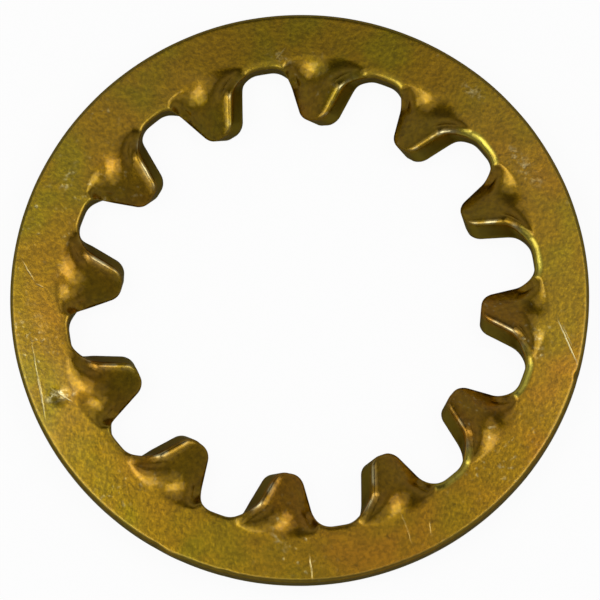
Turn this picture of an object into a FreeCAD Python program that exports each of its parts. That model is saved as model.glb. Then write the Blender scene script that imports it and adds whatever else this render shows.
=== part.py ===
# Internal-tooth lock washer for a 5/8 in (16 mm) bolt: one stamped ring of spring steel whose
# teeth are each twisted about the line from the washer's centre through the tooth.
# The origin is the centre of the washer and +Z is its axis. The first tooth points along +X.
# A tooth is a flat blade turned about its own middle line. Between the root fillets its two sides
# blend from the turned blade into the flat ring without a crease, and the ring stays flat up to there.
import FreeCAD
import Part
import math
import os
from FreeCAD import Rotation, Vector

# Driving sizes in millimetres, angle in degrees
hole_diameter = 16.74
tooth_length = 2.565
ring_width = 2.5
sheet_thickness = 1.17
tooth_count = 12
tooth_twist = 32.5
tooth_width_at_tip = 1.18
# Width of a gap at its bottom, between the flanks drawn on without their fillets
gap_width_at_root = 2.12
root_fillet_radius = 0.95
tip_corner_radius = 0.74
rim_edge_break = 0.1
# From the gap on, each root fillet stays flat with the ring over this share of its turn
flat_fillet_share = 0.4
# On a tooth's middle line the blend reaches this far outside the circle of the gaps
blend_reach = 0.6
# Along the flanks the blend ends this far beyond the root fillets
flank_run = 0.35
# The flat blade begins at an arch that bulges this far towards the tip
blade_arch_height = 0.1
# The poles of the blend's side edges stand at this share of the way to where their end tangents meet
side_pole_share = 0.62

# Sizes worked out from the driving ones
tip_radius = hole_diameter / 2
gap_radius = tip_radius + tooth_length
outer_radius = gap_radius + ring_width
half_thickness = sheet_thickness / 2
pitch_angle = 360.0 / tooth_count
root_angle = math.radians(pitch_angle / 2) - math.asin(gap_width_at_root / 2 / gap_radius)

centre = Vector(0, 0, 0)
washer_axis = Vector(0, 0, 1)
blade_turn = Rotation(Vector(1, 0, 0), -tooth_twist)


def at_length(vector, length):
    return vector * (length / vector.Length)


def mirrored(point):
    # The same point on the other side of the tooth's middle line
    return Vector(point.x, -point.y, 0)


def circle_beside_flank(offset, radius):
    # Centre of a circle that lies at a distance outside the flank and on a circle about the origin
    foot = flank_start + flank_normal * offset
    along = foot.dot(flank_direction)
    reach = math.sqrt(along ** 2 - foot.dot(foot) + radius ** 2)
    return foot + flank_direction * (reach - along)


# Flat outline of half a tooth, on the side of +Y
flank_start = Vector(tip_radius, tooth_width_at_tip / 2, 0)
flank_end = Vector(math.cos(root_angle), math.sin(root_angle), 0) * gap_radius
flank_direction = at_length(flank_end - flank_start, 1)
flank_normal = Vector(-flank_direction.y, flank_direction.x, 0)

fillet_centre = circle_beside_flank(root_fillet_radius, gap_radius - root_fillet_radius)
fillet_start = at_length(fillet_centre, gap_radius)
fillet_end = fillet_centre - flank_normal * root_fillet_radius
fillet_turn = (fillet_start - fillet_centre).getAngle(fillet_end - fillet_centre)
flat_turn = flat_fillet_share * fillet_turn
corner_centre = circle_beside_flank(-tip_corner_radius, tip_radius + tip_corner_radius)
corner_start = corner_centre + flank_normal * tip_corner_radius
corner_end = at_length(corner_centre, tip_radius)
corner_middle = corner_centre + at_length((corner_start + corner_end) / 2 - corner_centre, tip_corner_radius)


def out_of_fillet(angle):
    # Direction from the fillet's centre into the metal, this far round the fillet from the gap
    return Rotation(washer_axis, -math.degrees(angle)).multVec(at_length(fillet_centre, 1))


flat_middle = fillet_centre + out_of_fillet(flat_turn / 2) * root_fillet_radius
blend_start = fillet_centre + out_of_fillet(flat_turn) * root_fillet_radius
blend_end = fillet_end - flank_direction * flank_run
ring_arch_top = Vector(gap_radius + blend_reach, 0, 0)
blade_arch_top = Vector(blend_end.x - blade_arch_height, 0, 0)


def on_ring(point, height):
    return point + Vector(0, 0, height)


def on_blade(point, height):
    return blade_turn.multVec(on_ring(point, height))


def turned(shape, index):
    # The same shape at another tooth
    copy = shape.copy()
    copy.rotate(centre, washer_axis, index * pitch_angle)
    return copy


def arc(place, height, start, middle, end):
    return Part.Arc(place(start, height), place(middle, height), place(end, height)).toShape()


def arch_peak(foot, top):
    # Where the end tangents of an arch meet, and the cosine of the angle that they make with its chord
    tangent_angle = 2 * math.atan2(top.x - foot.x, foot.y)
    return Vector(foot.x + foot.y * math.tan(tangent_angle), 0, 0), math.cos(tangent_angle)


def blend_poles(height):
    # Rows of three poles from the ring's arch to the blade's arch. The first two rows lie in the
    # ring's surface and the last two in the blade's, so the blend meets both without a crease.
    tangent_length = root_fillet_radius * math.tan((fillet_turn - flat_turn) / 2)
    out = out_of_fillet(flat_turn)
    ring_side = blend_start + Vector(out.y, -out.x, 0) * (tangent_length * side_pole_share)
    blade_side = blend_end + flank_direction * ((tangent_length + flank_run) * side_pole_share)
    ring_peak, _ = arch_peak(blend_start, ring_arch_top)
    blade_peak, _ = arch_peak(blend_end, blade_arch_top)
    third = (ring_peak - blade_peak) / 3
    rows = [
        (on_ring, blend_start, ring_peak),
        (on_ring, ring_side, ring_peak - third),
        (on_blade, blade_side, blade_peak + third),
        (on_blade, blend_end, blade_peak),
    ]
    return [[place(pole, height) for pole in (side, peak, mirrored(side))] for place, side, peak in rows]


def blend_face(height):
    _, ring_weight = arch_peak(blend_start, ring_arch_top)
    _, blade_weight = arch_peak(blend_end, blade_arch_top)
    weights = [[1, middle, 1] for middle in (ring_weight, ring_weight, blade_weight, blade_weight)]
    knots = [0, 1]
    surface = Part.BSplineSurface()
    surface.buildFromPolesMultsKnots(
        blend_poles(height), [4, 4], [3, 3], knots, knots, False, False, 3, 2, weights
    )
    return surface.toShape()


def blend_walls(column):
    # Punched wall along the blend on one side of the tooth, in an upper and a lower half
    curves = []
    for height in (half_thickness, 0, -half_thickness):
        curve = Part.BezierCurve()
        curve.setPoles([row[column] for row in blend_poles(height)])
        curves.append(curve.toShape())
    return [Part.makeRuledSurface(upper, lower) for upper, lower in zip(curves, curves[1:])]


def blade_outline(height):
    # Cut edges of the blade, round the tip from one flank to the other
    tip_middle = Vector(tip_radius, 0, 0)
    return [
        Part.makeLine(on_blade(blend_end, height), on_blade(corner_start, height)),
        arc(on_blade, height, corner_start, corner_middle, corner_end),
        arc(on_blade, height, corner_end, tip_middle, mirrored(corner_end)),
        arc(on_blade, height, mirrored(corner_end), mirrored(corner_middle), mirrored(corner_start)),
        Part.makeLine(on_blade(mirrored(corner_start), height), on_blade(mirrored(blend_end), height)),
    ]


def blade_face(height):
    arch = arc(on_blade, height, mirrored(blend_end), blade_arch_top, blend_end)
    return Part.Face(Part.Wire(blade_outline(height) + [arch]))


def gap_edges(height):
    # Bottom of the gap after the first tooth, between the flat parts of its two root fillets
    end = turned(Part.Vertex(mirrored(fillet_start)), 1).Point
    bottom = arc(on_ring, height, fillet_start, at_length(fillet_start + end, gap_radius), end)
    fillet = arc(on_ring, height, blend_start, flat_middle, fillet_start)
    next_fillet = arc(on_ring, height, mirrored(fillet_start), mirrored(flat_middle), mirrored(blend_start))
    return [fillet, bottom, turned(next_fillet, 1)]


def ring_face(height):
    # Flat side of the ring, from the broken edge of its rim to the gaps and the arches of the teeth
    arch = arc(on_ring, height, mirrored(blend_start), ring_arch_top, blend_start)
    edges = [arch] + gap_edges(height)
    inner = [turned(edge, index) for index in range(tooth_count) for edge in edges]
    rim = Part.makeCircle(outer_radius - rim_edge_break, Vector(0, 0, height))
    return Part.makeFace([Part.Wire([rim]), Part.Wire(inner)], "Part::FaceMakerBullseye")


def rim_faces():
    # Outer wall with both of its edges broken
    flat_radius = outer_radius - rim_edge_break
    wall_height = half_thickness - rim_edge_break
    section = [
        Vector(flat_radius, 0, half_thickness),
        Vector(outer_radius, 0, wall_height),
        Vector(outer_radius, 0, -wall_height),
        Vector(flat_radius, 0, -half_thickness),
    ]
    lines = [Part.makeLine(*ends) for ends in zip(section, section[1:])]
    return [line.revolve(centre, washer_axis, 360).Faces[0] for line in lines]


def tooth_faces():
    # One tooth with its punched walls, and the walls of the gap after it
    through = Vector(0, 0, -sheet_thickness)
    walls = [edge.extrude(blade_turn.multVec(through)) for edge in blade_outline(half_thickness)]
    walls += [edge.extrude(through) for edge in gap_edges(half_thickness)]
    walls += blend_walls(0) + blend_walls(2)
    sides = [face(height) for face in (blade_face, blend_face) for height in (half_thickness, -half_thickness)]
    return walls + sides


def toothed_washer():
    tooth = tooth_faces()
    faces = rim_faces() + [ring_face(half_thickness), ring_face(-half_thickness)]
    faces += [turned(face, index) for index in range(tooth_count) for face in tooth]
    shell = Part.makeShell(faces)
    shell.sewShape()
    return Part.makeSolid(shell)


os.makedirs("parts", exist_ok=True)
washer = toothed_washer()
print("toothed_washer: volume", round(washer.Volume, 3), "mm3, valid", washer.isValid())
washer.exportStep("parts/toothed_washer.step")
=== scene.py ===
import math

import bmesh
import bpy
import numpy as np
from mathutils import Matrix, Vector, noise


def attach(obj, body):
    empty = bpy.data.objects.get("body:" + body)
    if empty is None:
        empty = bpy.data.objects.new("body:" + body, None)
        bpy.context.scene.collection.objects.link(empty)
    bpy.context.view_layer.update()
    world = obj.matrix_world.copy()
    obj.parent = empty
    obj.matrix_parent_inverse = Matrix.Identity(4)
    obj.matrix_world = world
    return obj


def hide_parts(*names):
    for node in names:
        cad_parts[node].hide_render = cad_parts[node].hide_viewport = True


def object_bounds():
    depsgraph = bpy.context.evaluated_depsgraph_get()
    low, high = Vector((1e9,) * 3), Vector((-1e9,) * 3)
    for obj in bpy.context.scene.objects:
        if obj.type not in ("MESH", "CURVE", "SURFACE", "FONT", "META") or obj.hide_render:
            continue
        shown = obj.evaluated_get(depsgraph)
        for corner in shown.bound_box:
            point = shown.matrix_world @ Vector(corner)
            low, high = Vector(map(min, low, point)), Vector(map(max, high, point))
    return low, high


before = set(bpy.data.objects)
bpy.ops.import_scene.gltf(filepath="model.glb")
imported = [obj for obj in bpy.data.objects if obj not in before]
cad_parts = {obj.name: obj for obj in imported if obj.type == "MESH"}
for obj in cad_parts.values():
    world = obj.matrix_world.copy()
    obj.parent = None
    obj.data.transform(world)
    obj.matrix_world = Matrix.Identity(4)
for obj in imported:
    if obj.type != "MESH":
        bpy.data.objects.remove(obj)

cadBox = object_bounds()   # the box of the solid, before anything is added

# The washer. Its sizes are in millimetres and degrees, and the first ones are those of the solid.
washer = {
    "holeDiameter": 16.74,
    "toothLength": 2.565,
    "ringWidth": 2.5,
    "sheetThickness": 1.17,
    "toothCount": 12,
    "toothTwist": 32.5,
    "toothWidthAtTip": 1.18,
    "gapWidthAtRoot": 2.12,
    "rootFillet": 0.95,
    "tipCorner": 0.74,
    "flatFilletShare": 0.4,  # share of a root fillet that stays flat with the ring
    "blendReach": 0.6,       # the twist starts this far outside the circle of the gaps
    "flankRun": 0.35,        # and ends this far along the flanks
    "bladeArch": -0.1,
    "sidePoleShare": 0.62,
    # What stamping did to its edges
    "rollOver": (0.4, 0.25),      # the punch drew the upper edges down: how far in, how deep
    "burrRounding": 0.05,         # the lower edges are nearly sharp
    "rimRollOver": (0.2, 0.2),
    "rimBurrRounding": 0.12,
    "edgeFlare": 0.02,            # the walls between them stand this far out
    # How square the roll-over is: 2 is an ellipse. The lowered flank was pressed nearly square again,
    # and the punch cut closer on the left of the picture.
    "raisedPower": 2.8,
    "loweredPower": 7,
    "gapPowerRight": 2.0,
    "gapPowerLeft": 5.0,
    "gapPowerReach": 0.7,         # the power changes over this share of the way to either side
    # How the teeth and the ring differ from the drawing
    "bladeCrown": 0.07,           # a blade is bent this much across, 1/mm, its middle up
    "crownFoot": 1.25,            # and keeps its height this far from its middle line
    "twistSpread": (-1.2, 0.2),   # degrees that a tooth's twist may be off
    "twistSeed": 8,
    "holeOffCentre": (0.095, 12),   # the hole was punched this far off centre, to this angle in the picture
    "shiftFade": (0.4, 1.9),      # that shift begins this far inside the rim and grows over this width
    "bow": (0.007, 0.35),         # the ring isn't quite flat: height, and waves per mm
    "ripple": (0.0025, 1.3),
    "outOfRound": (0.015, 0.6),   # nor quite round
    "turnOnTable": 5.677,         # the washer lies turned this far clockwise in the picture
    # Steps of the mesh
    "weldDistance": 0.0005,
    "ringRows": 28,
    "ringRowsBelow": 6,
    "archSteps": 44,
    "filletSteps": 14,
    "flankSteps": 18,
    "cornerSteps": 19,
    "gapSteps": 4,
    "flatSteps": 8,
    "rollOverSteps": 8,
    "burrSteps": 2,
    "wallSteps": 4,
}

tipRadius = washer["holeDiameter"] / 2
gapRadius = tipRadius + washer["toothLength"]
outerRadius = gapRadius + washer["ringWidth"]
halfSheet = washer["sheetThickness"] / 2
halfPitch = math.pi / washer["toothCount"]

# Camera: the photograph looks down on the washer from a little below its middle
camera = {
    "towardsCamera": (0.0214, -0.1971, 1.0),   # in the picture's own frame, x right and y up
    "distance": 274.2,                         # mm from the washer's centre
    "pixelsPerMm": 21.54,                      # at the washer's centre
    "centrePixel": (299.56, 298.05),           # where the washer's centre is seen
    "frame": 600,                              # pixels
    "sensor": 36.0,                            # mm
    "nearest": 0.01,                           # metres
}
lookBack = Vector(camera["towardsCamera"]).normalized()
lookUp = (Vector((0, 1, 0)) - lookBack.y * lookBack).normalized()
lookRight = lookUp.cross(lookBack)
# Turns a direction of the picture into one of the part
pictureTurn = Matrix.Rotation(math.radians(washer["turnOnTable"]), 3, "Z")


def atPixel(pixel, height=halfSheet):
    # The point of a level plane of the washer that a pixel of the photograph shows, in mm
    across = (pixel[0] - camera["centrePixel"][0]) / camera["pixelsPerMm"] / camera["distance"]
    down = (pixel[1] - camera["centrePixel"][1]) / camera["pixelsPerMm"] / camera["distance"]
    ray = lookRight * across - lookUp * down - lookBack
    eye = lookBack * camera["distance"]
    point = pictureTurn @ (eye + ray * ((eye.z - height) / -ray.z))
    return np.array(point[:2])


def unit(vector):
    return vector / np.linalg.norm(vector)


def circleBeside(offset, radius):
    # Centre of a circle that touches the flank and a circle about the washer's centre
    foot = flankStart + flankNormal * offset
    along = foot @ flankDirection
    return foot + flankDirection * (math.sqrt(along ** 2 - foot @ foot + radius ** 2) - along)


rootAngle = halfPitch - math.asin(washer["gapWidthAtRoot"] / 2 / gapRadius)
flankStart = np.array([tipRadius, washer["toothWidthAtTip"] / 2])
flankDirection = unit(gapRadius * np.array([math.cos(rootAngle), math.sin(rootAngle)]) - flankStart)
flankNormal = np.array([-flankDirection[1], flankDirection[0]])
filletCentre = circleBeside(washer["rootFillet"], gapRadius - washer["rootFillet"])
cornerCentre = circleBeside(-washer["tipCorner"], tipRadius + washer["tipCorner"])
filletTurn = math.acos(unit(filletCentre) @ -flankNormal)
flatTurn = washer["flatFilletShare"] * filletTurn


# A place in the blank has six numbers: x, y and share of the height on the flat ring, then the same
# on the turned blade. On the ring the second three are 0, on the blade the first three are.
def onRing(points):
    points = np.asarray(points, float)
    return np.concatenate([points, np.ones((len(points), 1)), np.zeros((len(points), 3))], axis=1)


def onBlade(points):
    return np.roll(onRing(points), 3, axis=1)


def mirrored(blank):
    return blank * np.array([1, -1, 1, 1, -1, 1])


def flatFillet(inset, angle):
    # Point of the root fillet this far round from the gap, and the direction into the metal there
    direction = math.atan2(*filletCentre[::-1]) - angle
    outward = np.array([math.cos(direction), math.sin(direction)])
    return filletCentre + outward * (washer["rootFillet"] + inset), outward


def sidePoles(inset):
    # Poles of the blend's edge on +Y, from the flat part of the root fillet to the flank
    start, outward = flatFillet(inset, flatTurn)
    end = filletCentre - flankNormal * (washer["rootFillet"] + inset) - flankDirection * washer["flankRun"]
    tangentLength = (washer["rootFillet"] + inset) * math.tan((filletTurn - flatTurn) / 2)
    startHandle = start + np.array([outward[1], -outward[0]]) * tangentLength * washer["sidePoleShare"]
    endHandle = end + flankDirection * (tangentLength + washer["flankRun"]) * washer["sidePoleShare"]
    return [start, startHandle, endHandle, end]


def bernstein(degree, steps):
    t = np.linspace(0, 1, steps + 1)[:, None]
    k = np.arange(degree + 1)
    choose = np.array([math.comb(degree, i) for i in k])
    return choose * t ** k * (1 - t) ** (degree - k)


def halfChain(inset):
    # Punched edge of half a tooth on +Y, from the middle of the gap to the middle of the tip
    angles = np.linspace(halfPitch, math.atan2(*filletCentre[::-1]), washer["gapSteps"] + 1)
    gap = (gapRadius + inset) * np.stack([np.cos(angles), np.sin(angles)], 1)
    flat = [flatFillet(inset, angle)[0] for angle in np.linspace(0, flatTurn, washer["flatSteps"] + 1)[1:]]
    gap = onRing(np.concatenate([gap, flat]))
    poles = sidePoles(inset)
    spread = bernstein(3, washer["filletSteps"])
    fillet = spread @ np.concatenate([onRing(poles[:2]), onBlade(poles[2:])])
    cornerRadius = washer["tipCorner"] - inset
    cornerStart = cornerCentre + flankNormal * cornerRadius
    t = np.linspace(0, 1, washer["flankSteps"] + 1)[:, None]
    flank = onBlade(poles[3] * (1 - t) + cornerStart * t)
    startAngle = math.atan2(*flankNormal[::-1])
    endAngle = math.atan2(*cornerCentre[::-1]) + math.pi
    angles = np.linspace(startAngle, endAngle, washer["cornerSteps"] + 1)
    corner = onBlade(cornerCentre + cornerRadius * np.stack([np.cos(angles), np.sin(angles)], 1))
    tipSteps = washer["archSteps"] // 2 - washer["cornerSteps"]
    angles = np.linspace(math.atan2(*cornerCentre[::-1]), 0, tipSteps + 1)
    tip = onBlade((tipRadius + inset) * np.stack([np.cos(angles), np.sin(angles)], 1))
    return [gap, fillet, flank, corner, tip]


def chain(inset):
    # Punched edge of one tooth, from the middle of one gap to the middle of the next
    half = [part[(1 if index else 0):] for index, part in enumerate(halfChain(inset))]
    half = np.concatenate(half)
    return np.concatenate([mirrored(half), half[-2::-1]])


def archPole(foot, top):
    angle = 2 * math.atan2(top - foot[0], foot[1])
    return np.array([foot[0] + foot[1] * math.tan(angle), 0.0]), math.cos(angle)


def blendGrid(inset):
    # Rows from the ring to the blade, columns from -Y to +Y
    sides = sidePoles(inset)
    ringPeak, ringWeight = archPole(sides[0], gapRadius + washer["blendReach"])
    bladeFoot = sidePoles(0)[3]
    bladePeak, bladeWeight = archPole(sides[3], bladeFoot[0] + washer["bladeArch"])
    third = (ringPeak - bladePeak) / 3
    peaks = [ringPeak, ringPeak - third, bladePeak + third, bladePeak]
    weights = [ringWeight, ringWeight, bladeWeight, bladeWeight]
    places = [onRing, onRing, onBlade, onBlade]
    down, across = bernstein(3, washer["filletSteps"]), bernstein(2, washer["archSteps"])
    grid = np.zeros((len(down), len(across), 6))
    total = np.zeros((len(down), len(across), 1))
    for row in range(4):
        poles = (sides[row] * [1, -1], 1), (peaks[row], weights[row]), (sides[row], 1)
        for column, (pole, weight) in enumerate(poles):
            share = np.outer(down[:, row], across[:, column])[..., None] * weight
            grid += share * places[row]([pole])[0]
            total += share
    return grid / total


def bladeGrid(inset, archRow):
    # Flat blade between its arch, its two flanks and its rounded tip
    flank, corner, tip = halfChain(inset)[2:]
    end = np.concatenate([corner, tip[1:]])
    end = np.concatenate([mirrored(end), end[-2::-1]])
    u = np.linspace(0, 1, len(flank))[:, None, None]
    v = np.linspace(0, 1, len(end))[None, :, None]
    left, right = mirrored(flank)[:, None], flank[:, None]
    corners = (1 - u) * ((1 - v) * left[0] + v * right[0]) + u * ((1 - v) * left[-1] + v * right[-1])
    return (1 - u) * archRow[None] + u * end[None] + (1 - v) * left + v * right - corners


def ringGrid(inset, archRow, rows, rimInset):
    # Flat ring between the rim's rounding and the bottom of the gaps and the arch
    gap = halfChain(inset)[0]
    inner = np.concatenate([mirrored(gap), archRow[1:-1], gap[::-1]])
    inner = inner[:, :2] + inner[:, 3:5]
    sharp = halfChain(0)[0]
    sharp = np.concatenate([mirrored(sharp), blendGrid(0)[0][1:-1], sharp[::-1]])
    angles = np.arctan2(sharp[:, 1] + sharp[:, 4], sharp[:, 0] + sharp[:, 3])   # the same for both sides
    outer = (outerRadius - rimInset) * np.stack([np.cos(angles), np.sin(angles)], 1)
    t = np.linspace(0, 1, rows + 1)[:, None, None]
    flat = (outer * (1 - t) + inner * t).reshape(-1, 2)
    return onRing(flat).reshape(rows + 1, -1, 6), angles


def formed(blank, height, twist):
    # Where a place of the blank at a height in the sheet goes when the blade is turned and crowned
    cosine, sine = math.cos(math.radians(twist)), math.sin(math.radians(twist))
    x, y, share = blank[..., 0], blank[..., 1], blank[..., 2] * height
    bladeX, bladeY = blank[..., 3], blank[..., 4]
    crown = washer["bladeCrown"] / 2 * (washer["crownFoot"] ** 2 - bladeY ** 2)
    bladeUp = blank[..., 5] * (height + crown)
    y = y + bladeY * cosine + bladeUp * sine
    return np.stack([x + bladeX, y, share + bladeUp * cosine - bladeY * sine], -1)


def edgeProfile(rollOver, burr, flare=0.0, power=2.0):
    # Insets and heights from the upper side down to the lower side; the power can be one number per
    # place along the edge
    power = np.atleast_1d(power)[None, :]
    turn = np.linspace(0, math.pi / 2, washer["rollOverSteps"] + 1)[:, None]
    across, down = np.sin(turn) ** (2 / power), np.abs(np.cos(turn)) ** (2 / power)
    insets = [(rollOver[0] + flare) * (1 - across) - flare]
    heights = [halfSheet - rollOver[1] * (1 - down)]
    t = np.linspace(0, 1, washer["wallSteps"] + 1)[1:-1, None]
    heights.append((halfSheet - rollOver[1]) * (1 - t) + (burr - halfSheet) * t + 0 * power)
    insets.append(0 * heights[-1] - flare)
    turn = np.linspace(math.pi / 2, 0, washer["burrSteps"] + 1)[:, None]
    heights.append(burr * (1 - np.cos(turn)) - halfSheet + 0 * power)
    insets.append((burr + flare) * (1 - np.sin(turn)) - flare + 0 * power)
    return np.concatenate(insets), np.concatenate(heights)


# How an edge is worn and where it has painted highlights, from the upper side down. Depths are in depths of
# its roll-over.
edgeWearAndHighlights = {
    "torn": (0.75, 1.25),                # depths from which the wall is torn a little, and wholly
    "rolled": (0.0, 0.03, 0.45, 0.8),    # the rolled surface begins, is full, ends to be full, and ends
    "rubbed": (0.3, 0.16),               # tumbling rubbed it, with a painted highlight, most at this depth and this far round it
    "rubbedAndHighlightHeights": (0.1, 0.35),        # mm above the ring: only what stands proud was rubbed and has the painted highlight
    "gapEdgeHighlight": (0.95, 0.12),           # share of the painted highlight on the rolled edges, at the rightmost gaps and elsewhere
    "rimTorn": 0.6,                      # the rim's rolled surface is this much like a torn wall
}


def edgeWearAndHighlight(heights, rollOver):
    # How far each height of an edge is torn wall, rolled over by the punch, and rubbed in tumbling with a
    # painted highlight
    depth = (halfSheet - heights) / rollOver[1]
    torn = np.interp(depth, edgeWearAndHighlights["torn"], (0, 1))
    torn[-1] = 0
    rolled = np.interp(depth, edgeWearAndHighlights["rolled"], (0, 1, 1, 0))
    deepest, reach = edgeWearAndHighlights["rubbed"]
    return torn, rolled, np.exp(-((depth - deepest) / reach) ** 2)


def toothPatches(twist, gapPowers):
    # Grids of points of one tooth and its part of the ring, each with how torn it is, its painted highlight
    # on rolled gap edges, and its rubbing with a painted highlight
    patches = []
    sides = (
        (halfSheet, washer["rollOver"][0], washer["rimRollOver"][0], washer["ringRows"]),
        (-halfSheet, washer["burrRounding"], washer["rimBurrRounding"], washer["ringRowsBelow"]),
    )
    for height, inset, rimInset, rows in sides:
        blend = blendGrid(inset)
        ring, angles = ringGrid(inset, blend[0], rows, rimInset)
        for grid in (ring, blend, bladeGrid(inset, blend[-1])):
            patches.append((formed(grid, height, twist), *np.zeros((3,) + grid.shape[:2])))
    sharp, onePerMm = chain(0), chain(1) - chain(0)
    middle, roundTip = len(sharp) // 2, washer["archSteps"] // 2
    flanks = washer["flankSteps"], washer["filletSteps"]
    corners = [middle - roundTip, middle + roundTip]
    places = [corners[0] - sum(flanks), corners[0] - flanks[0]]
    places += [*corners, corners[1] + flanks[0], corners[1] + sum(flanks)]
    raised, lowered = washer["raisedPower"], washer["loweredPower"]
    powers = [gapPowers[0], raised, raised, lowered, lowered, gapPowers[1]]
    powers = np.interp(np.arange(len(sharp)), places, powers)
    insets, heights = edgeProfile(washer["rollOver"], washer["burrRounding"], washer["edgeFlare"], powers)
    wall = formed(sharp + insets[..., None] * onePerMm, heights, twist)
    torn, rolled, rubbedAndHighlightShare = edgeWearAndHighlight(heights, washer["rollOver"])
    # Rubbed wear with a painted highlight, only on the raised edges that stand proud of the ring
    raised = np.interp(wall[..., 2] - halfSheet, edgeWearAndHighlights["rubbedAndHighlightHeights"], (0, 1))
    # Painted highlight on the rolled edges of the gaps, strongest at the rightmost ones
    inGap = np.abs(np.arange(len(sharp)) - middle) > roundTip + flanks[0] + flanks[1] / 2
    roundest = washer["gapPowerRight"]
    gapEdgeHighlight = np.interp(powers, [roundest, roundest + 1], edgeWearAndHighlights["gapEdgeHighlight"])
    patches.append((wall, torn, rolled * inGap * gapEdgeHighlight, rubbedAndHighlightShare * raised))
    insets, heights = edgeProfile(washer["rimRollOver"], washer["rimBurrRounding"], power=0 * angles + 2)
    radius = outerRadius - insets
    rim = np.stack([radius * np.cos(angles), radius * np.sin(angles), heights], -1)
    torn, rolled, _ = edgeWearAndHighlight(heights, washer["rimRollOver"])
    patches.append((rim, np.maximum(torn, edgeWearAndHighlights["rimTorn"] * rolled), 0 * torn, 0 * torn))
    return patches


# Dents that handling left in the upper side and the rim. Each has its pixel in the photograph, its
# reach in mm, and how deep it goes down and in towards the centre, in mm.
dents = {
    "scuffedHollow": {"pixel": (60, 396), "reach": 0.55, "down": 0.05, "inward": 0.0},
    "nickAtScratchEnd": {"pixel": (579, 376), "reach": 0.3, "down": 0.07, "inward": 0.08},
    "nickLowerLeft": {"pixel": (153, 548), "reach": 0.35, "down": 0.03, "inward": 0.06},
    "burrLowerLeft": {"pixel": (168, 556), "reach": 0.8, "down": 0.0, "inward": -0.07},
    "nickBelow": {"pixel": (225, 576), "reach": 0.4, "down": 0.03, "inward": 0.04},
    "nickBelowRight": {"pixel": (396, 571), "reach": 0.3, "down": 0.03, "inward": 0.04},
    "nickLowerRight": {"pixel": (442, 550), "reach": 0.3, "down": 0.02, "inward": 0.04},
    "pittedPatch": {"pixel": (537, 344), "reach": 0.6, "down": 0.02, "inward": 0.0},
}


def worked(points):
    # The washer as it came out of the press and the barrel: uneven, its hole off centre, and dented
    bow, bowWaves = washer["bow"]
    ripple, rippleWaves = washer["ripple"]
    outOfRound, roundWaves = washer["outOfRound"]
    for point in points:
        place = Vector(point)
        radius = math.hypot(point[0], point[1])
        point[2] += bow * noise.noise(place * bowWaves) + ripple * noise.noise(place * rippleWaves)
        unevenness = 0.5 + 0.5 * noise.noise(place * roundWaves + Vector((7, 3, 1)))
        point[:2] *= 1 - outOfRound * unevenness / radius
    byMm, towards = washer["holeOffCentre"]
    direction = pictureTurn @ Vector((math.cos(math.radians(towards)), math.sin(math.radians(towards)), 0))
    fadeStart, fadeWidth = washer["shiftFade"]
    inward = np.clip((outerRadius - fadeStart - np.linalg.norm(points[:, :2], axis=1)) / fadeWidth, 0, 1)
    points[:, :2] += byMm * (inward ** 2 * (3 - 2 * inward))[:, None] * np.array(direction[:2])
    upper = np.clip((points[:, 2] + halfSheet) / (2 * halfSheet), 0, 1)
    towardsCentre = -points[:, :2] / np.linalg.norm(points[:, :2], axis=1)[:, None]
    for dent in dents.values():
        away = np.linalg.norm(points[:, :2] - atPixel(dent["pixel"]), axis=1) / dent["reach"]
        share = np.where(away < 1, (1 - away ** 2) ** 2, 0)
        points[:, 2] -= share * upper ** 3 * dent["down"]
        points[:, :2] += towardsCentre * (share * upper * dent["inward"])[:, None]
    return points


def weldedMesh():
    # All the grids as one closed mesh
    points, faces = [], []
    wearAndHighlights = {"tornWall": [], "rolledEdgeHighlight": [], "rubbedEdgeAndHighlight": []}
    start = 0
    reach, leftAndRight = washer["gapPowerReach"], [washer["gapPowerLeft"], washer["gapPowerRight"]]
    random = np.random.default_rng(washer["twistSeed"])
    for tooth in range(washer["toothCount"]):
        twist = washer["toothTwist"] + random.uniform(*washer["twistSpread"])
        angle = 2 * halfPitch * tooth
        gapAngles = angle - math.radians(washer["turnOnTable"]) + halfPitch * np.array([-1, 1])
        gapPowers = np.interp(np.cos(gapAngles), [-reach, reach], leftAndRight)
        turn = np.array(Matrix.Rotation(angle, 3, "Z"))
        for grid, *shares in toothPatches(twist, gapPowers):
            rows, columns = grid.shape[:2]
            points.append(grid.reshape(-1, 3) @ turn.T)
            for share, collected in zip(shares, wearAndHighlights.values()):
                collected.append(share.ravel())
            index = start + np.arange(rows * columns).reshape(rows, columns)
            quads = np.stack([index[:-1, :-1], index[:-1, 1:], index[1:, 1:], index[1:, :-1]], -1)
            faces.append(quads.reshape(-1, 4))
            start += rows * columns
    mesh = bpy.data.meshes.new("toothedWasher")
    mesh.from_pydata(worked(np.concatenate(points)), [], np.concatenate(faces))
    for name, shares in wearAndHighlights.items():
        mesh.attributes.new(name, "FLOAT", "POINT").data.foreach_set("value", np.concatenate(shares))
    form = bmesh.new()
    form.from_mesh(mesh)
    bmesh.ops.remove_doubles(form, verts=form.verts, dist=washer["weldDistance"])
    bmesh.ops.recalc_face_normals(form, faces=form.faces)
    form.to_mesh(mesh)
    openEdges = sum(1 for edge in form.edges if len(edge.link_faces) != 2)
    print("mesh:", len(form.verts), "points,", len(form.faces), "faces,", openEdges, "open edges")
    form.free()
    return mesh


def linear(hexColour):
    # An sRGB colour as written, to linear values
    channels = [int(hexColour[i:i + 2], 16) / 255 for i in (1, 3, 5)]
    return [c / 12.92 if c <= 0.04045 else ((c + 0.055) / 1.055) ** 2.4 for c in channels] + [1.0]


def addNode(tree, kind, settings=None, links=None):
    # One node with its settings, socket values and links; a link is (input, node, output)
    node = tree.nodes.new(kind)
    for name, value in (settings or {}).items():
        if isinstance(name, int) or name in node.inputs:
            node.inputs[name].default_value = value
        else:
            setattr(node, name, value)
    for target, source, output in links or []:
        tree.links.new(source.outputs[output], node.inputs[target])
    return node


def newTree(material):
    material.use_nodes = True
    material.node_tree.nodes.clear()
    return material.node_tree
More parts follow.
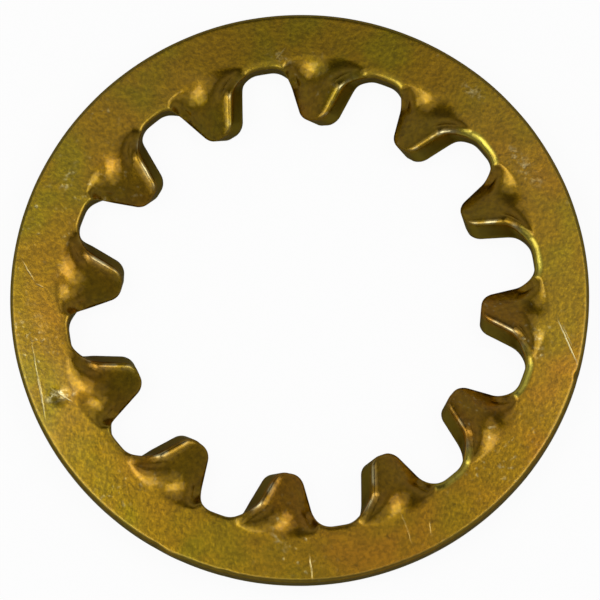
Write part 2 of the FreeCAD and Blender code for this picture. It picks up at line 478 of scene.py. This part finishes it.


# Yellow passivated zinc on stamped spring steel, tumbled in a barrel: a thin gold film, glossy over
# a finely crystalline metal, that runs from olive to copper where it is thinner or thicker. It is
# rubbed bare at the marks, and greener and duller on the torn walls. Highlights are painted on, pale
# on the rubbed raised tooth edges and yellow-green on the rolled edges of the gaps.
zinc = {
    "olive": "#857107",
    "copper": "#986B0F",
    "gold": "#8F6D08",
    # bare zinc of the marks, and the colour of the painted highlight on the rubbed raised edges
    "bareZincAndHighlight": "#CFC596",
    "rolledEdgeHighlight": "#B5A83C",     # painted highlight, greenish, along the rolled edges of the gaps
    "tornSteel": "#8A7A38",
    "tornCover": 0.85,           # share of the film's colour that it hides on the walls
    "grazing": "#8F8A3C",        # tone of the film seen at a low angle
    # The film is more copper round the teeth and less by the rim: radii in mm, and shares
    "copperReach": (10.6, 12.9),
    "copperShift": (0.14, -0.2),
    "copperTowards": (0.013, -0.018, 0.0),   # and more towards the lower right, share per mm
    "reliefDepth": 0.003,        # mm
    "peelReach": (11.7, 10.9),   # mm from the centre, where the orange peel begins and is full
    "peelDepth": 0.7,            # this and the next in relief depths
    "markDepth": 2.4,
    "roughness": 0.25,
    "rubbedRoughness": 0.17,
    "rolledPolish": 0.8,         # a rolled edge is polished this much as far as a rubbed one
    "tornRoughness": 0.36,
    "coat": 0.35,                # clear gloss of the passivation
    "tornCoat": 0.15,
    "coatRoughness": 0.12,
}

# Noise patterns of the finish: how wide their blots are in mm, the band of the noise that they use,
# what that becomes, and how many finer layers they have. Real zinc grains are finer than the finest
# of them, which are drawn as coarse as the picture needs.
patterns = {
    "patches": {"mm": 2.4, "band": (0.3, 0.7)},                                     # olive to copper
    "clouds": {"mm": 0.8, "band": (0.35, 0.75)},                                    # towards gold
    "grain": {"mm": 0.22, "band": (0.3, 0.7), "to": (0.91, 1.09), "layers": 3.0},   # light and dark
    "fineGrain": {"mm": 0.1, "band": (0.3, 0.7), "to": (0.84, 1.16), "layers": 1.0},
    "pits": {"mm": 0.12, "band": (0.62, 0.8), "to": (1.0, 0.7), "layers": 1.0},     # small and dark
    "flecks": {"mm": 0.13, "band": (0.63, 0.8), "to": (0.0, 0.4), "layers": 1.0},   # small and bare
    "fleckGroups": {"mm": 3.0, "band": (0.45, 0.65)},
    "scratchBreaks": {"mm": 0.2, "band": (0.3, 0.6), "to": (0.45, 1.0)},
    "scuffGrain": {"mm": 0.11, "band": (0.45, 0.8)},
    # breaks in the rubbed wear and painted highlight of the raised edges
    "rubbedHighlightBreaks": {"mm": 0.45, "band": (0.4, 0.6), "to": (0.0, 0.8)},
    # breaks in the painted highlight of the rolled gap edges
    "rolledHighlightBreaks": {"mm": 0.7, "band": (0.35, 0.55), "to": (0.4, 1.0)},
    "fineRelief": {"mm": 0.1, "band": (0.25, 0.75), "to": (0.0, 0.9), "layers": 1.0},
    "coarseRelief": {"mm": 0.44, "band": (0.25, 0.75), "to": (0.0, 1.1)},
    "peel": {"mm": 0.22, "band": (0.2, 0.8), "layers": 1.0},      # orange peel of the stretched metal
}
noiseBlot = 0.5                        # how wide a noise's blots are at a scale of 1
markWobble = {"mm": 0.2, "by": 0.12}   # the marks' outlines waver at this spacing and by this much

# Scratches and rubbed patches, by the pixels of their two ends in the photograph, with their half
# width in mm and how strongly they show. They lie on the upper side and reach this far through it,
# and they are strongest over this share of their width and length.
markThrough = 0.4
markCore = 0.3
scratches = {
    "longOneByTheRim": {"ends": ((555, 313), (581, 372)), "half": 0.045, "strength": 0.85},
    "besideTheLongOne": {"ends": ((561, 322), (574, 349)), "half": 0.03, "strength": 0.4},
    "bottomMiddle": {"ends": ((309, 553), (313, 582)), "half": 0.05, "strength": 0.7},
    "leftBand": {"ends": ((30, 332), (45, 420)), "half": 0.04, "strength": 0.45},
    "leftBandLower": {"ends": ((38, 372), (46, 424)), "half": 0.06, "strength": 0.5},
    "leftUpper": {"ends": ((21, 258), (36, 284)), "half": 0.04, "strength": 0.4},
    "leftUpperHook": {"ends": ((34, 283), (45, 288)), "half": 0.035, "strength": 0.3},
    "topMiddle": {"ends": ((275, 60), (286, 47)), "half": 0.045, "strength": 0.4},
    "lowerRightLong": {"ends": ((399, 508), (414, 548)), "half": 0.035, "strength": 0.3},
    "lowerRightShort": {"ends": ((430, 521), (431, 536)), "half": 0.035, "strength": 0.35},
    "hollowEdge": {"ends": ((48, 387), (73, 402)), "half": 0.06, "strength": 0.7},
    "hollowSide": {"ends": ((47, 404), (57, 389)), "half": 0.05, "strength": 0.6},
}
rubbed = {
    "scuffedHollow": {"ends": ((49, 399), (72, 391)), "half": 0.4, "strength": 0.9},
    "upperLeftScuff": {"ends": ((62, 190), (74, 169)), "half": 0.3, "strength": 0.6},
    "upperRightSpecks": {"ends": ((508, 147), (541, 184)), "half": 0.55, "strength": 0.45},
    "topRightSpecks": {"ends": ((464, 84), (482, 98)), "half": 0.4, "strength": 0.5},
    "pittedPatch": {"ends": ((533, 326), (541, 362)), "half": 0.4, "strength": 0.5},
    "topSpecks": {"ends": ((266, 50), (292, 66)), "half": 0.35, "strength": 0.45},
    "lowerMiddleScuff": {"ends": ((272, 528), (286, 553)), "half": 0.3, "strength": 0.4},
    "lowerLeftScuff": {"ends": ((148, 467), (160, 484)), "half": 0.3, "strength": 0.4},
    "leftSpecks": {"ends": ((28, 300), (48, 345)), "half": 0.5, "strength": 0.15},
}


def marked(tree, place, marks):
    # How strongly the marks cover a place of the upper side: each is a long ellipse that fades out
    total = None
    for mark in marks.values():
        first, last = (atPixel(end) for end in mark["ends"])
        middle, along = (first + last) / 2, last - first
        shape = addNode(tree, "ShaderNodeMapping", {
            "vector_type": "TEXTURE",
            "Location": (middle[0], middle[1], halfSheet),
            "Rotation": (0, 0, math.atan2(along[1], along[0])),
            "Scale": (np.linalg.norm(along) / 2 + mark["half"], mark["half"], markThrough),
        }, [("Vector", place, 0)])
        away = addNode(tree, "ShaderNodeVectorMath", {"operation": "LENGTH"}, [(0, shape, "Vector")])
        share = addNode(tree, "ShaderNodeMapRange", {
            "interpolation_type": "SMOOTHSTEP",
            "From Min": 1.0, "From Max": markCore, "To Max": mark["strength"],
        }, [("Value", away, "Value")])
        if total is None:
            total = share
        else:
            links = [(0, share, 0), (1, total, 0)]
            total = addNode(tree, "ShaderNodeMath", {"operation": "MAXIMUM"}, links)
    return total


def yellowZinc():
    material = bpy.data.materials.new("yellowPassivatedZinc")
    tree = newTree(material)
    place = addNode(tree, "ShaderNodeTexCoord")
    inMm = addNode(tree, "ShaderNodeMapping", {"Scale": (1000, 1000, 1000)}, [("Vector", place, "Object")])
    multiply, add, larger = ({"operation": name} for name in ("MULTIPLY", "ADD", "MAXIMUM"))

    def pattern(name):
        drawn = patterns[name]
        raw = addNode(tree, "ShaderNodeTexNoise", {
            "Scale": noiseBlot / drawn["mm"], "Detail": drawn.get("layers", 2.0),
        }, [("Vector", inMm, "Vector")])
        low, high = drawn["band"]
        toLow, toHigh = drawn.get("to", (0.0, 1.0))
        return addNode(tree, "ShaderNodeMapRange", {
            "interpolation_type": "SMOOTHSTEP",
            "From Min": low, "From Max": high, "To Min": toLow, "To Max": toHigh,
        }, [("Value", raw, "Fac")])

    torn = addNode(tree, "ShaderNodeAttribute", {"attribute_name": "tornWall"})
    # Rubbed wear with a painted highlight along the raised tooth edges
    rubbedEdgeAndHighlight = addNode(tree, "ShaderNodeAttribute", {"attribute_name": "rubbedEdgeAndHighlight"})
    rubbedEdgeAndHighlight = addNode(tree, "ShaderNodeMath", multiply, [
        (0, rubbedEdgeAndHighlight, "Fac"), (1, pattern("rubbedHighlightBreaks"), 0),
    ])
    # Painted highlight along the rolled edges of the gaps
    rolledEdgeHighlight = addNode(tree, "ShaderNodeAttribute", {"attribute_name": "rolledEdgeHighlight"})
    rolledEdgeHighlight = addNode(tree, "ShaderNodeMath", multiply, [
        (0, rolledEdgeHighlight, "Fac"), (1, pattern("rolledHighlightBreaks"), 0),
    ])
    level = addNode(tree, "ShaderNodeVectorMath", {
        "operation": "MULTIPLY", 1: (1, 1, 0),
    }, [(0, inMm, "Vector")])
    fromCentre = addNode(tree, "ShaderNodeVectorMath", {"operation": "LENGTH"}, [(0, level, "Vector")])

    # Film
    near, far = zinc["copperReach"]
    outward = addNode(tree, "ShaderNodeMapRange", {
        "From Min": near, "From Max": far, "To Min": zinc["copperShift"][0], "To Max": zinc["copperShift"][1],
    }, [("Value", fromCentre, "Value")])
    sideways = addNode(tree, "ShaderNodeVectorMath", {
        "operation": "DOT_PRODUCT", 1: zinc["copperTowards"],
    }, [(0, inMm, "Vector")])
    copperShare = addNode(tree, "ShaderNodeMath", add, [(0, pattern("patches"), 0), (1, outward, 0)])
    copperShare = addNode(tree, "ShaderNodeMath", {**add, "use_clamp": True}, [
        (0, copperShare, 0), (1, sideways, "Value"),
    ])
    film = addNode(tree, "ShaderNodeMix", {
        "data_type": "RGBA", 6: linear(zinc["olive"]), 7: linear(zinc["copper"]),
    }, [(0, copperShare, 0)])
    film = addNode(tree, "ShaderNodeMix", {
        "data_type": "RGBA", 7: linear(zinc["gold"]),
    }, [(0, pattern("clouds"), 0), (6, film, 2)])
    lightness = pattern("grain")
    for name in ("fineGrain", "pits"):
        lightness = addNode(tree, "ShaderNodeMath", multiply, [(0, lightness, 0), (1, pattern(name), 0)])
    film = addNode(tree, "ShaderNodeVectorMath", {"operation": "SCALE"}, [
        (0, film, 2), ("Scale", lightness, 0),
    ])
    # Colour of the painted highlight on the rolled gap edges
    film = addNode(tree, "ShaderNodeMix", {
        "data_type": "RGBA", 7: linear(zinc["rolledEdgeHighlight"]),
    }, [(0, rolledEdgeHighlight, 0), (6, film, 0)])

    # Bare places: marks with uneven edges, and flecks; and the painted highlight of the rubbed raised edges
    by = markWobble["by"]
    wobble = addNode(tree, "ShaderNodeTexNoise", {
        "Scale": noiseBlot / markWobble["mm"], "Detail": 2.0,
    }, [("Vector", inMm, "Vector")])
    wobble = addNode(tree, "ShaderNodeVectorMath", {
        "operation": "MULTIPLY_ADD", 1: (by, by, 0), 2: (-by / 2, -by / 2, 0),
    }, [(0, wobble, "Color")])
    bent = addNode(tree, "ShaderNodeVectorMath", add, [(0, inMm, "Vector"), (1, wobble, "Vector")])
    scratched = addNode(tree, "ShaderNodeMath", multiply, [
        (0, marked(tree, bent, scratches), 0), (1, pattern("scratchBreaks"), 0),
    ])
    scuffed = addNode(tree, "ShaderNodeMath", multiply, [
        (0, marked(tree, bent, rubbed), 0), (1, pattern("scuffGrain"), 0),
    ])
    flecked = addNode(tree, "ShaderNodeMath", multiply, [
        (0, pattern("flecks"), 0), (1, pattern("fleckGroups"), 0),
    ])
    bare = addNode(tree, "ShaderNodeMath", larger, [(0, scratched, 0), (1, scuffed, 0)])
    bare = addNode(tree, "ShaderNodeMath", larger, [(0, bare, 0), (1, flecked, 0)])
    # pale where bare, and as a painted highlight on the rubbed raised edges
    bright = addNode(tree, "ShaderNodeMath", larger, [(0, bare, 0), (1, rubbedEdgeAndHighlight, 0)])
    colour = addNode(tree, "ShaderNodeMix", {
        "data_type": "RGBA", 7: linear(zinc["bareZincAndHighlight"]),
    }, [(0, bright, 0), (6, film, 2)])
    tornShare = addNode(tree, "ShaderNodeMath", {**multiply, 1: zinc["tornCover"]}, [(0, torn, "Fac")])
    colour = addNode(tree, "ShaderNodeMix", {
        "data_type": "RGBA", 7: linear(zinc["tornSteel"]),
    }, [(0, tornShare, 0), (6, colour, 2)])

    # Gloss
    roughness = addNode(tree, "ShaderNodeMapRange", {
        "To Min": zinc["roughness"], "To Max": zinc["tornRoughness"],
    }, [("Value", torn, "Fac")])
    polish = addNode(tree, "ShaderNodeMath", {**multiply, 1: zinc["rolledPolish"]}, [(0, rolledEdgeHighlight, 0)])
    polish = addNode(tree, "ShaderNodeMath", larger, [(0, polish, 0), (1, rubbedEdgeAndHighlight, 0)])
    roughness = addNode(tree, "ShaderNodeMix", {
        3: zinc["rubbedRoughness"],
    }, [(0, polish, 0), (2, roughness, 0)])
    coat = addNode(tree, "ShaderNodeMapRange", {
        "To Min": zinc["coat"], "To Max": zinc["tornCoat"],
    }, [("Value", torn, "Fac")])

    # Relief of the grains, with the marks cut into it
    relief = addNode(tree, "ShaderNodeMath", add, [
        (0, pattern("fineRelief"), 0), (1, pattern("coarseRelief"), 0),
    ])
    begins, isFull = zinc["peelReach"]
    atRoot = addNode(tree, "ShaderNodeMapRange", {
        "From Min": begins, "From Max": isFull, "To Max": zinc["peelDepth"],
    }, [("Value", fromCentre, "Value")])
    peel = addNode(tree, "ShaderNodeMath", multiply, [(0, atRoot, 0), (1, pattern("peel"), 0)])
    relief = addNode(tree, "ShaderNodeMath", add, [(0, relief, 0), (1, peel, 0)])
    cuts = addNode(tree, "ShaderNodeMath", {**multiply, 1: zinc["markDepth"]}, [(0, bare, 0)])
    relief = addNode(tree, "ShaderNodeMath", {"operation": "SUBTRACT"}, [(0, relief, 0), (1, cuts, 0)])
    bump = addNode(tree, "ShaderNodeBump", {
        "Strength": 1.0, "Distance": zinc["reliefDepth"] / 1000,
    }, [("Height", relief, 0)])

    shader = addNode(tree, "ShaderNodeBsdfPrincipled", {
        "Metallic": 1.0, "Coat Roughness": zinc["coatRoughness"], "Specular Tint": linear(zinc["grazing"]),
    }, [
        ("Base Color", colour, 2), ("Roughness", roughness, 0), ("Coat Weight", coat, 0), ("Normal", bump, 0),
    ])
    addNode(tree, "ShaderNodeOutputMaterial", {}, [("Surface", shader, "BSDF")])
    return material


mesh = weldedMesh()
mesh.transform(Matrix.Scale(0.001, 4))
for face in mesh.polygons:
    face.use_smooth = True
washerPiece = bpy.data.objects.new("toothedWasher", mesh)
bpy.context.scene.collection.objects.link(washerPiece)
mesh.materials.append(yellowZinc())
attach(washerPiece, "root")
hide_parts("toothed_washer")
print("washer made")

# Table: a plain white sheet under the lowest corners of the teeth. Seen by the camera it is mostly
# as white as the photograph's, with a faint shadow. In the metal it is a dull yellowish grey.
table = {
    "reach": 0.6,                 # metres
    "colour": "#FBFBFB",
    "colourInMetal": "#C2C09C",
    "glow": 0.94,                 # share of plain white that the camera sees
}
tableMesh = bpy.data.meshes.new("table")
reach, low = table["reach"], cadBox[0][2]
tableCorners = [(x * reach, y * reach, low) for x, y in ((-1, -1), (1, -1), (1, 1), (-1, 1))]
tableMesh.from_pydata(tableCorners, [], [(0, 1, 2, 3)])
tablePiece = bpy.data.objects.new("table", tableMesh)
bpy.context.scene.collection.objects.link(tablePiece)
tableMaterial = bpy.data.materials.new("matteWhitePaper")
tree = newTree(tableMaterial)
path = addNode(tree, "ShaderNodeLightPath")
tint = addNode(tree, "ShaderNodeMix", {
    "data_type": "RGBA", 6: linear(table["colourInMetal"]), 7: linear(table["colour"]),
}, [(0, path, "Is Camera Ray")])
paper = addNode(tree, "ShaderNodeBsdfDiffuse", {}, [("Color", tint, 2)])
white = addNode(tree, "ShaderNodeEmission", {"Strength": 1.0})
glow = addNode(tree, "ShaderNodeMath", {
    "operation": "MULTIPLY", 1: table["glow"],
}, [(0, path, "Is Camera Ray")])
both = addNode(tree, "ShaderNodeMixShader", {}, [(0, glow, 0), (1, paper, 0), (2, white, 0)])
addNode(tree, "ShaderNodeOutputMaterial", {}, [("Surface", both, 0)])
tableMesh.materials.append(tableMaterial)
print("table made")

# World: a light tent. Its roof is bright round the lens, dark where the soft boxes stand, and pale
# again at its sides. The levels go with the height of the direction: 0 is level, 1 straight up.
tent = {
    0.0: 0.25, 0.17: 0.4, 0.31: 0.47, 0.45: 0.32, 0.58: 0.17,
    0.75: 0.08, 0.93: 0.05, 0.975: 0.43, 0.99: 0.52, 1.0: 0.5,
}
world = bpy.data.worlds.new("lightTent")
bpy.context.scene.world = world
world.use_nodes = True
tree = world.node_tree
tree.nodes.clear()
direction = addNode(tree, "ShaderNodeTexCoord")
height = addNode(tree, "ShaderNodeSeparateXYZ", {}, [("Vector", direction, "Generated")])
levels = addNode(tree, "ShaderNodeValToRGB", {}, [("Fac", height, "Z")])
for index, (position, level) in enumerate(tent.items()):
    stops = levels.color_ramp.elements
    stop = stops[index] if index < 2 else stops.new(position)
    stop.position, stop.color = position, (level, level, level, 1)
backdrop = addNode(tree, "ShaderNodeBackground", {"Strength": 1.0}, [("Color", levels, "Color")])
addNode(tree, "ShaderNodeOutputWorld", {}, [("Surface", backdrop, 0)])

# Soft boxes on an arc close round the washer. Each is this many degrees from straight overhead and
# this far round from the right of the picture, with its side in mm and its level, where 1 is white.
softBoxes = {
    "rightHigh": {"fromOverhead": 19, "round": 0, "side": 36, "level": 2.3},
    "leftHigh": {"fromOverhead": 19, "round": 180, "side": 36, "level": 2.5},
    "lowerLeftHigh": {"fromOverhead": 19, "round": 225, "side": 36, "level": 1.25},
    "upperRightHigh": {"fromOverhead": 19, "round": 45, "side": 36, "level": 0.5},
    "upperLeftHigh": {"fromOverhead": 19, "round": 135, "side": 36, "level": 0.35},
    "lowerHigh": {"fromOverhead": 19, "round": 270, "side": 36, "level": 0.36},
    "rightMiddle": {"fromOverhead": 36, "round": 0, "side": 50, "level": 1.5},
    "leftMiddle": {"fromOverhead": 36, "round": 180, "side": 50, "level": 1.4},
    "lowerLeftMiddle": {"fromOverhead": 36, "round": 225, "side": 50, "level": 0.8},
    "lowerRightMiddle": {"fromOverhead": 36, "round": 315, "side": 50, "level": 0.6},
    "upperRightMiddle": {"fromOverhead": 36, "round": 45, "side": 50, "level": 0.55},
    "upperLeftMiddle": {"fromOverhead": 36, "round": 135, "side": 50, "level": 0.5},
    "lowerMiddle": {"fromOverhead": 36, "round": 270, "side": 50, "level": 0.35},
}
boxDistance = 0.11   # metres
for name, box in softBoxes.items():
    lamp = bpy.data.lights.new(name, "AREA")
    lamp.size = box["side"] / 1000
    lamp.energy = math.pi * lamp.size ** 2 * box["level"]
    lampObject = bpy.data.objects.new(name, lamp)
    down, turn = math.radians(box["fromOverhead"]), math.radians(box["round"])
    across = math.sin(down)
    towards = pictureTurn @ Vector((across * math.cos(turn), across * math.sin(turn), math.cos(down)))
    facing = towards.to_track_quat("Z", "Y").to_matrix().to_4x4()
    lampObject.matrix_world = Matrix.Translation(towards * boxDistance) @ facing
    bpy.context.scene.collection.objects.link(lampObject)
print("lights made:", len(softBoxes), "soft boxes")

cameraData = bpy.data.cameras.new("camera")
cameraData.sensor_width = camera["sensor"]
cameraData.lens = camera["pixelsPerMm"] * camera["distance"] / camera["frame"] * camera["sensor"]
cameraData.clip_start = camera["nearest"]
cameraData.shift_x = (camera["frame"] / 2 - camera["centrePixel"][0]) / camera["frame"]
cameraData.shift_y = (camera["centrePixel"][1] - camera["frame"] / 2) / camera["frame"]
cameraObject = bpy.data.objects.new("camera", cameraData)
axes = pictureTurn @ Matrix((lookRight, lookUp, lookBack)).transposed()
eyePoint = pictureTurn @ lookBack * camera["distance"] / 1000
cameraObject.matrix_world = Matrix.Translation(eyePoint) @ axes.to_4x4()
bpy.context.scene.collection.objects.link(cameraObject)
bpy.context.scene.camera = cameraObject
bpy.context.scene.view_settings.view_transform = "Standard"
print("camera made")
